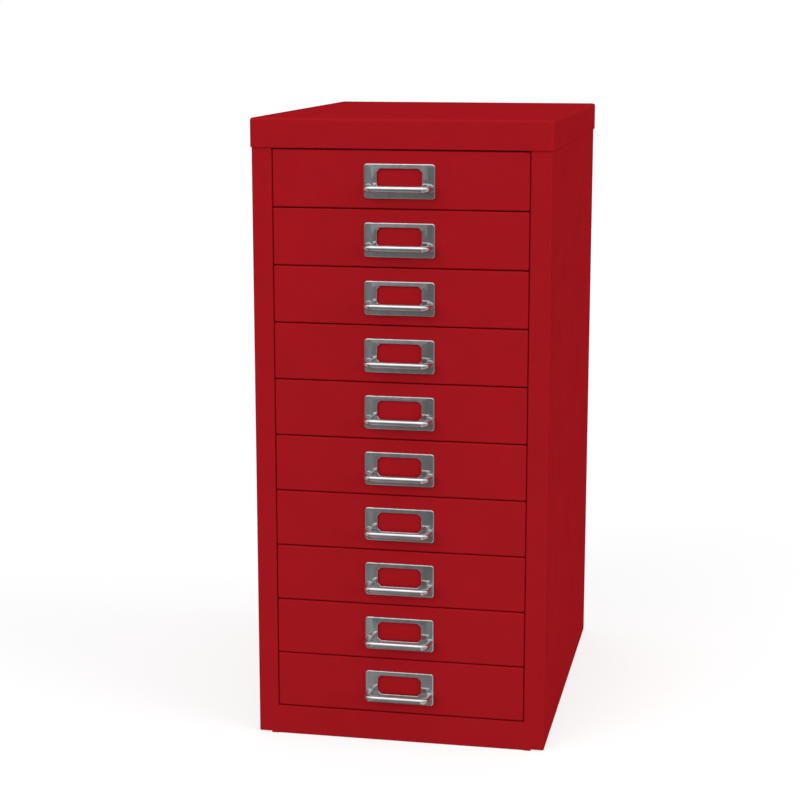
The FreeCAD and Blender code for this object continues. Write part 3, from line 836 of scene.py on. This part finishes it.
@dataclass
class DrawerPieces:
    """The pieces of one drawer, modelled once for the top drawer and copied down."""

    finishes: Finishes
    count: int = 10
    front_gauge: float = 0.9 * MM
    front_fold: Round = Round(1.5 * MM, 6)
    front_margin: Point = (0.3 * MM, 0.0, 0.1 * MM)
    tray_gauge: float = 0.78 * MM
    tray_wall: float = 109.6 * MM
    tray_floor: float = 0.8 * MM
    tray_rim: float = 42.0 * MM
    tray_hem: float = 1.6 * MM
    tray_hem_gap: float = 0.4 * MM
    hem_fold: Round = Round(0.78 * MM, 4)
    rim_fold: Round = Round(1.2 * MM, 4)
    floor_fold: Round = Round(0.7 * MM, 4)
    wall_corner: Round = Round(3.0 * MM, 5)
    weld_shares: tuple[float, ...] = (-0.8, -0.4, 0.4, 0.8)
    lug_top: float = 38.15 * MM
    lug_height: float = 4.0 * MM
    lug_width: float = 5.6 * MM
    lug_span: Span = (127.2 * MM, 135.2 * MM)
    lug_corner: Round = Round(1.2 * MM, 4)
    cut_edge: float = 0.2 * MM
    plate_depth: float = 2.0 * MM
    plate_corner: Round = Round(3.0 * MM, 8)
    plate_roll: Round = Round(1.25 * MM, 6)
    plate_gauge: float = 0.6 * MM
    window_width: float = 41.6 * MM
    window_height: float = 18.2 * MM
    window_top_rail: float = 4.4 * MM
    window_cut: float = 3.6 * MM
    window_ease: Round = Round(2.6 * MM, 8)
    window_roll: Round = Round(0.7 * MM, 3)
    wing_start: float = 25.4 * MM
    wing_ramp: float = 1.1 * MM
    wing_drop: float = 0.25 * MM
    rod_sides: int = 32
    rod_bend: Round = Round(6.0 * MM, 12)
    root_flare: float = 0.6 * MM

    def build(self) -> None:
        """Builds the top drawer's pieces and copies them to each drawer."""
        coat = (self.finishes.coat, "red_powder_coat")
        plate_chrome = (self.finishes.plate_chrome, "handle_chrome")
        rod_chrome = (self.finishes.rod_chrome, "handle_chrome")
        for kind, make, finish in (
            ("tray", self.tray, coat),
            ("front", self.front, coat),
            ("label_plate", self.label_plate, plate_chrome),
            ("pull_bar", self.pull_bar, rod_chrome),
        ):
            model = make()
            word = model.name
            model.name = model.data.name = f"drawer_01_{word}"
            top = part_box(f"drawer_01_{kind}")[0]
            for position in range(1, self.count + 1):
                drawer = f"drawer_{position:02d}"
                node = f"{drawer}_{kind}"
                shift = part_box(node)[0] - top
                piece = model if position == 1 else copy_of(model, f"{drawer}_{word}", shift)
                mount(piece, drawer, node, *finish)

    def tray(self) -> Piece:
        """Folds a channel with hemmed side flanges, and adds end walls and stop lugs.

        Returns:
            The tray, with weld prints on its front wall.
        """
        low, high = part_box("drawer_01_tray")
        rim = low.z + self.tray_rim
        under = rim - self.tray_hem
        floor = low.z + self.tray_floor
        inner = self.tray_wall - self.tray_floor
        end = self.tray_wall + self.tray_hem_gap
        half = [(-end, under), (low.x, under), (low.x, rim), (-inner, rim), (-inner, floor)]
        route = half + [(-across, up) for across, up in reversed(half)]
        folds = [self.hem_fold, self.hem_fold, self.rim_fold, self.floor_fold]
        front_wall_back = low.y + self.tray_floor
        span = (front_wall_back, high.y)
        channel = fold_skin("channel", route, Axis.ALONG_Y, span, folds + folds[::-1])
        thicken(channel, self.tray_gauge, Lay.RIGHT)
        rear = high.y - self.tray_floor
        walls = [
            self.end_wall(Vector((low.x, low.y, floor)), Vector((high.x, front_wall_back, high.z))),
            self.end_wall(Vector((-inner, rear, floor)), Vector((inner, high.y, rim))),
        ]
        lugs = [self.lug(side, low.z + self.lug_top) for side in (-1, 1)]
        tray = join([channel, *walls, *lugs], "folded_tray")
        soften(tray, self.cut_edge, steps=1)
        with editing(tray):
            bpy.ops.mesh.select_all(action="SELECT")
            bpy.ops.mesh.dissolve_degenerate(threshold=MERGED)
        middle = (floor + rim) / 2
        places = [Vector((share * inner, front_wall_back, middle)) for share in self.weld_shares]
        return join([tray, WeldPrints().build(places)], "folded_tray")

    def end_wall(self, low: Vector, high: Vector) -> Piece:
        """Cuts a wall of the tray with its upper corners rounded.

        Args:
            low: its lowest corner.
            high: its highest corner.

        Returns:
            The wall.
        """
        wall = new_box("end_wall", low, high)
        with editing(wall):
            top = high.z
            round_edges(
                wall, self.wall_corner, lambda a, b: at(a.x, b.x) and at(a.z, top) and at(b.z, top)
            )
        return wall

    def lug(self, side: int, top: float) -> Piece:
        """Cuts a stop lug on the tray's outer side.

        Args:
            side: 1 on the right and -1 on the left.
            top: height of the lug's upper face.

        Returns:
            The lug, rounded at its free corners.
        """
        outer = side * (self.tray_wall + self.lug_width)
        near, far = sorted((side * (self.tray_wall - self.cut_edge), outer))
        start, end = self.lug_span
        foot = top - self.lug_height
        lug = new_box("stop_lug", Vector((near, start, foot)), Vector((far, end, top)))

        def at_corner(a: Vector, b: Vector) -> bool:
            """True where an edge runs up the lug's outer side."""
            return at(a.x, outer) and at(b.x, outer) and at(a.y, b.y)

        with editing(lug):
            round_edges(lug, self.lug_corner, at_corner)
        return lug

    def front(self) -> Piece:
        """Folds a pan back on all four sides, with the narrow gaps round it that the eye sees.

        Returns:
            The front.
        """
        low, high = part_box("drawer_01_front")
        margin = Vector(self.front_margin)
        low, high = low - margin, high + margin
        front = new_box("folded_front", low, high)

        def at_fold(a: Vector, b: Vector) -> bool:
            """True where an edge runs from front to back, or round the face."""
            return (at(a.x, b.x) and at(a.z, b.z)) or (at(a.y, low.y) and at(b.y, low.y))

        with editing(front):
            pick(front, Pick.FACES, lambda centre, normal: normal.y > SQUARELY)
            bpy.ops.mesh.delete(type="FACE")
            round_edges(front, self.front_fold, at_fold)
        thicken(front, self.front_gauge)
        smooth(front)
        return front

    def label_plate(self) -> Piece:
        """Presses a plate with a rolled edge, a crown round the card window, and two wings.

        Returns:
            The plate, with its wings and borders set back from the crown.
        """
        low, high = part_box("drawer_01_label_plate")
        back = Vector((high.x, low.y + self.plate_depth, high.z))
        plate = new_box("pressed_plate", low, back)
        rolled = low.y + self.plate_roll.radius
        reach = self.wing_start + self.wing_ramp / 2
        window_top = high.z - self.window_top_rail
        crown_top = window_top + self.window_roll.radius
        crown_foot = window_top - self.window_height - self.window_roll.radius

        def set_back(point: Vector) -> bool:
            """True for a point of the face or roll that lies off the crown."""
            beside = abs(point.x) > reach
            off_level = point.z > crown_top + NEAR or point.z < crown_foot - NEAR
            return (beside or off_level) and point.y < rolled + NEAR

        with editing(plate):
            pick(plate, Pick.FACES, lambda centre, normal: normal.y > SQUARELY)
            bpy.ops.mesh.delete(type="FACE")
            round_edges(plate, self.plate_corner, lambda a, b: at(a.x, b.x) and at(a.z, b.z))
            round_edges(plate, self.plate_roll, lambda a, b: at(a.y, low.y) and at(b.y, low.y))
            ramp = (self.wing_start, self.wing_start + self.wing_ramp)
            score(((side * place, 0, 0), (1, 0, 0)) for place in ramp for side in (-1, 1))
            score(((0, 0, place), (0, 0, 1)) for place in (crown_top, crown_foot))
            self.cut_window(plate, low.y, window_top)
            pick(plate, Pick.POINTS, set_back)
            flatter = 1 - self.wing_drop / self.plate_roll.radius
            bpy.ops.transform.resize(value=(1, flatter, 1), center_override=(0, rolled, 0))
        thicken(plate, self.plate_gauge)
        smooth(plate)
        return plate

    def cut_window(self, plate: Piece, face: float, top: float) -> None:
        """Cuts the card window with slanting, eased corners and turns its edge in.

        Its upper and lower edges are there already, as the borders of the crown.

        Args:
            plate: the plate, in edit mode.
            face: place of its face along Y.
            top: height of the window's upper edge.
        """
        roll, ease = self.window_roll.radius, self.window_ease.radius
        wide = self.window_width / 2 + roll
        tall = self.window_height / 2 + roll
        middle = Vector((0, face, top - self.window_height / 2))
        slant = wide + tall - self.window_cut - ease * math.sqrt(2)
        cuts = [(wide, 0.0)]
        for step in range(1, self.window_ease.steps):
            degrees = step * 90 / self.window_ease.steps
            turn = math.radians(degrees)
            if degrees <= 45:
                across, up = wide - ease, slant - wide + ease
            else:
                across, up = slant - tall + ease, tall - ease
            cuts.append((across * math.cos(turn) + up * math.sin(turn) + ease, turn))

        def in_middle(centre: Vector, normal: Vector) -> bool:
            """True for the flat face in the middle of the window."""
            inside = abs(centre.x) < wide / 2 and abs(centre.z - middle.z) < tall / 2
            return inside and normal.y < -SQUARELY

        for away, turn in cuts:
            for across, up in ((1, 1), (1, -1), (-1, 1), (-1, -1)):
                outwards = Vector((across * math.cos(turn), 0, up * math.sin(turn)))
                pick(plate, Pick.FACES, in_middle)
                bpy.ops.mesh.bisect(plane_co=middle + outwards * away, plane_no=outwards)
        pick(plate, Pick.FACES, in_middle)
        turned_in, turned_back = 0.0, 0.0
        for step in range(1, self.window_roll.steps + 1):
            turn = math.radians(step * 90 / self.window_roll.steps)
            inwards, back = roll * math.sin(turn), roll * (1 - math.cos(turn))
            bpy.ops.mesh.inset(thickness=inwards - turned_in, depth=turned_back - back)
            turned_in, turned_back = inwards, back
        bpy.ops.mesh.delete(type="FACE")

    def pull_bar(self) -> Piece:
        """Runs a round rod out from the plate, bends it, and takes it along the front and back.

        Returns:
            The pull, a little flared where its legs meet the plate.
        """
        low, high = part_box("drawer_01_pull_bar")
        radius = (high.z - low.z) / 2
        level = (low.z + high.z) / 2
        leg = high.x - radius
        reach = low.y + radius
        root = high.y + self.wing_drop
        flare, bend = self.root_flare, self.rod_bend.radius
        start_clean()
        bpy.ops.mesh.primitive_circle_add(
            vertices=self.rod_sides,
            radius=radius + flare,
            location=(-leg, root, level),
            rotation=(math.pi / 2, 0, 0),
        )
        rod = settle("bent_rod")
        taper = radius / (radius + flare)
        with editing(rod):
            bpy.ops.mesh.select_all(action="SELECT")
            self.run((0, -flare, 0))
            bpy.ops.transform.resize(value=(taper, 1, taper), center_override=(-leg, 0, level))
            self.run((0, reach + bend - root + flare, 0))
            self.turn((-leg + bend, reach + bend, level))
            self.run((2 * (leg - bend), 0, 0))
            self.turn((leg - bend, reach + bend, level))
            self.run((0, root - flare - reach - bend, 0))
            self.run((0, flare, 0))
            wider = (1 / taper, 1, 1 / taper)
            bpy.ops.transform.resize(value=wider, center_override=(leg, 0, level))
            bpy.ops.mesh.select_all(action="SELECT")
            bpy.ops.mesh.remove_doubles(threshold=MERGED)
            for side in (-1, 1):
                pick(
                    rod, Pick.EDGES, lambda a, b: at(a.y, root) and at(b.y, root) and a.x * side > 0
                )
                bpy.ops.mesh.edge_face_add()
            bpy.ops.mesh.select_all(action="SELECT")
            bpy.ops.mesh.normals_make_consistent(inside=False)
        smooth(rod)
        return rod

    def run(self, step: Point) -> None:
        """Draws the selected ring of the rod out straight."""
        bpy.ops.mesh.extrude_region_move(TRANSFORM_OT_translate={"value": step})

    def turn(self, centre: Point) -> None:
        """Takes the selected ring of the rod a quarter turn round an upright line."""
        bpy.ops.mesh.spin(
            steps=self.rod_bend.steps, angle=-math.pi / 2, center=centre, axis=(0, 0, 1)
        )


# The studio


@dataclass(frozen=True)
class Lamp:
    """One soft lamp that faces the middle of the cabinet.

    Its power is in watts for a panel, and in watts per square metre for a far lamp. A panel has a
    width and a height in metres, and a far lamp a spread in degrees. A hidden lamp doesn't show in
    the chrome.
    """

    name: str
    throw: Throw
    place: Point
    power: float
    panel: Span = (1.8, 1.4)
    spread: float = 50.0
    hidden: bool = True


@dataclass
class Studio:
    """A pale floor, soft light from all round and the photograph's camera.

    The chrome mirrors a white sweep beside and behind the cabinet, a white ceiling, and in front a
    dimmer room with upright strips of light and dark. A strip is a bearing, as x over distance
    ahead, and a share of the gain. Lengths are in metres and tones linear.
    """

    target: Point = (-0.03705, 0.0, 0.29496)
    azimuth: float = 11.21
    elevation: float = 11.21
    distance: float = 1.9426
    focal_pixels: float = 1892.7
    image_pixels: float = 800.0
    sensor: float = 36.0
    clip: Span = (0.05, 60.0)
    floor_size: float = 40.0
    floor_tone: str = "A0A0A0"
    floor_lift: float = 0.70
    sweep: Span = (-0.2, 0.3)
    ambient: float = 0.5
    wall_tone: float = 0.26
    ceiling_tone: float = 1.3
    ceiling_edge: Span = (0.30, 0.45)
    rear_edge: Span = (0.0, 0.5)
    near_view: float = 10.0
    mirrored_floor: tuple[Span, ...] = (
        (-9.8, 0.30), (-8.6, 0.14), (-0.75, 0.15), (-0.55, 0.31), (0.2, 0.35)
    )
    least_ahead: float = 0.02
    strip_reach: float = 1.5
    strip_gain: float = 3.0
    strips: tuple[Span, ...] = (
        (-1.5, 0.53), (-0.9, 0.20), (-0.45, 0.20), (-0.27, 0.50), (-0.20, 0.33), (-0.12, 0.23),
        (0.10, 0.23), (0.17, 0.9), (0.30, 0.9), (0.45, 0.45), (1.5, 0.60),
    )
    lamps: tuple[Lamp, ...] = (
        Lamp("overhead_panel", Throw.PANEL, (-0.20, -1.10, 2.20), 6.2, hidden=False),
        Lamp("front_fill", Throw.FAR, (-0.40, -0.85, 0.64), 1.62),
        Lamp("side_fill", Throw.FAR, (0.90, -0.20, 0.68), 1.72),
        Lamp("back_fill", Throw.FAR, (-0.25, 0.95, 0.42), 0.9),
    )

    def build(self) -> None:
        """Sets the stage."""
        self.floor()
        self.room()
        for lamp in self.lamps:
            self.hang(lamp)
        self.camera()
        bpy.context.scene.view_settings.view_transform = "Standard"

    def mirror_rays(self, tree: Tree, rays: Node) -> Node:
        """Tells the rays that come from metal or glass.

        Args:
            tree: the node tree.
            rays: its Light Path node.

        Returns:
            A node that is 1 for such rays and 0 for others.
        """
        kinds = {0: rays.outputs["Is Glossy Ray"], 1: rays.outputs["Is Transmission Ray"]}
        return add_node(tree, "ShaderNodeMath", kinds, operation="MAXIMUM")

    def grey_steps(self, tree: Tree, value: object, reach: float, steps: tuple[Span, ...]) -> Node:
        """Turns a value into greys that run smoothly from step to step.

        Args:
            tree: the node tree.
            value: what is turned into greys.
            reach: how far the steps go on both sides of 0.
            steps: value and grey of each step, in order.

        Returns:
            A node with the grey.
        """
        ends = {"Value": value, "From Min": -reach, "From Max": reach}
        share = add_node(tree, "ShaderNodeMapRange", ends)
        stops = [((place + reach) / (2 * reach), (grey, grey, grey, 1)) for place, grey in steps]
        return add_node(tree, "ShaderNodeValToRGB", {"Fac": share}, stops)

    def light_strips(self, tree: Tree, place: Node) -> Node:
        """Stands strips of light and dark up in front of the cabinet, for the mirrors alone.

        Args:
            tree: the node tree.
            place: a Separate XYZ node of a place or direction.

        Returns:
            A node with the gain on the room's tone at that bearing.
        """
        away = {0: place.outputs["Y"], 1: -1.0}
        forward = add_node(tree, "ShaderNodeMath", away, operation="MULTIPLY")
        limits = {0: forward, 1: self.least_ahead}
        ahead = add_node(tree, "ShaderNodeMath", limits, operation="MAXIMUM")
        slope = {0: place.outputs["X"], 1: ahead}
        bearing = add_node(tree, "ShaderNodeMath", slope, operation="DIVIDE")
        share = self.grey_steps(tree, bearing, self.strip_reach, self.strips)
        gain = {0: share, 1: self.strip_gain}
        return add_node(tree, "ShaderNodeMath", gain, operation="MULTIPLY")

    def floor(self) -> None:
        """Lays a grey floor with a white sweep on it, and keeps the object's shadow.

        The camera sees it lifted to white. Mirrors see it lifted beside and behind the cabinet,
        because the sweep ends in front of it, where the floor of the dimmer room starts.
        """
        start_clean()
        bpy.ops.mesh.primitive_plane_add(size=self.floor_size, location=(0, 0, 0))
        floor = bpy.context.object
        floor.name = "studio_floor"
        material, tree, spot = new_material("studio_floor_paint")
        rays = add_node(tree, "ShaderNodeLightPath", {})
        mirrored = self.mirror_rays(tree, rays)
        place = add_node(tree, "ShaderNodeSeparateXYZ", {"Vector": spot})
        depth = place.outputs["Y"]
        start, end = self.sweep
        ends = {"Value": depth, "From Min": start, "From Max": end}
        sweep = add_node(tree, "ShaderNodeMapRange", ends, interpolation_type="SMOOTHSTEP")
        lift = rays.outputs["Is Camera Ray"]
        shown = add_node(tree, "ShaderNodeMath", {0: mirrored, 1: sweep}, operation="MULTIPLY")
        for other, operation in ((shown, "MAXIMUM"), (self.floor_lift, "MULTIPLY")):
            lift = add_node(tree, "ShaderNodeMath", {0: lift, 1: other}, operation=operation)
        grey = self.grey_steps(tree, depth, self.near_view, self.mirrored_floor)
        strips = self.light_strips(tree, place)
        dim = add_node(tree, "ShaderNodeMath", {0: grey, 1: strips}, operation="MULTIPLY")
        # inputs 6 and 7 are the two colours
        tones = {"Factor": mirrored, 6: linear(self.floor_tone), 7: dim}
        tone = add_node(tree, "ShaderNodeMix", tones, data_type="RGBA").outputs[2]
        matt = add_node(tree, "ShaderNodeBsdfDiffuse", {"Color": tone})
        glow = add_node(tree, "ShaderNodeEmission", {"Strength": lift})
        both = add_node(tree, "ShaderNodeAddShader", {0: matt, 1: glow})
        add_node(tree, "ShaderNodeOutputMaterial", {"Surface": both})
        floor.data.materials.append(material)

    def room(self) -> None:
        """Lights the room evenly, white to the camera, and to mirrors with walls and a ceiling."""
        world = bpy.data.worlds.new("studio_room")
        bpy.context.scene.world = world
        world.use_nodes = True
        tree = world.node_tree
        tree.nodes.clear()
        rays = add_node(tree, "ShaderNodeLightPath", {})
        facing = add_node(tree, "ShaderNodeTexCoord", {}).outputs["Generated"]
        way = add_node(tree, "ShaderNodeSeparateXYZ", {"Vector": facing})
        tones = {0: self.light_strips(tree, way), 1: self.wall_tone}
        tone = add_node(tree, "ShaderNodeMath", tones, operation="MULTIPLY")
        for part, (start, end), beyond in (
            ("Z", self.ceiling_edge, self.ceiling_tone),
            ("Y", self.rear_edge, 1.0),
        ):
            ends = {"Value": way.outputs[part], "From Min": start, "From Max": end}
            share = add_node(tree, "ShaderNodeMapRange", ends, interpolation_type="SMOOTHSTEP")
            tone = add_node(tree, "ShaderNodeMix", {"Factor": share, "A": tone, "B": beyond})
        for_mirrors = {"Factor": self.mirror_rays(tree, rays), "A": self.ambient, "B": tone}
        soft = add_node(tree, "ShaderNodeMix", for_mirrors)
        for_camera = {"Value": rays.outputs["Is Camera Ray"], "To Min": soft, "To Max": 1.0}
        seen = add_node(tree, "ShaderNodeMapRange", for_camera)
        backdrop = add_node(tree, "ShaderNodeBackground", {"Color": WHITE, "Strength": seen})
        add_node(tree, "ShaderNodeOutputWorld", {"Surface": backdrop})

    def hang(self, lamp: Lamp) -> None:
        """Hangs one lamp.

        Args:
            lamp: its place, size and power.
        """
        light = bpy.data.lights.new(lamp.name, lamp.throw.value)
        light.energy = lamp.power
        if lamp.throw is Throw.PANEL:
            light.shape = "RECTANGLE"
            light.size, light.size_y = lamp.panel
        else:
            light.angle = math.radians(lamp.spread)
        aim = Vector((0, 0, self.target[2])) - Vector(lamp.place)
        self.set_up(lamp.name, light, Vector(lamp.place), aim).visible_glossy = not lamp.hidden

    def camera(self) -> None:
        """Sets up the photograph's camera: from the right and above, with a long lens."""
        lens = bpy.data.cameras.new("photo_camera")
        lens.sensor_width = self.sensor
        lens.lens = self.focal_pixels * self.sensor / self.image_pixels
        lens.clip_start, lens.clip_end = self.clip
        turn, rise = math.radians(self.azimuth), math.radians(self.elevation)
        level = math.cos(rise)
        away = Vector((math.sin(turn) * level, -math.cos(turn) * level, math.sin(rise)))
        place = Vector(self.target) + away * self.distance
        bpy.context.scene.camera = self.set_up("photo_camera", lens, place, -away)

    def set_up(self, name: str, data: bpy.types.ID, place: Vector, aim: Vector) -> Piece:
        """Puts a lamp or the camera in its place.

        Args:
            name: the new object's name.
            data: the light or the lens.
            place: where it stands.
            aim: the direction that it faces.

        Returns:
            The new object.
        """
        holder = bpy.data.objects.new(name, data)
        bpy.context.scene.collection.objects.link(holder)
        holder.location = place
        holder.rotation_euler = aim.to_track_quat("-Z", "Y").to_euler()
        return holder


def main() -> None:
    """Builds the cabinet in the frame and sets the stage."""
    logging.basicConfig(level=logging.INFO, format="%(message)s")
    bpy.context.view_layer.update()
    finishes = Finishes()
    for part in (Carcass(finishes), DrawerPieces(finishes), Studio()):
        LOG.info("building %s", type(part).__name__)
        part.build()
    start_clean()


if __name__ == "__main__":
    main()
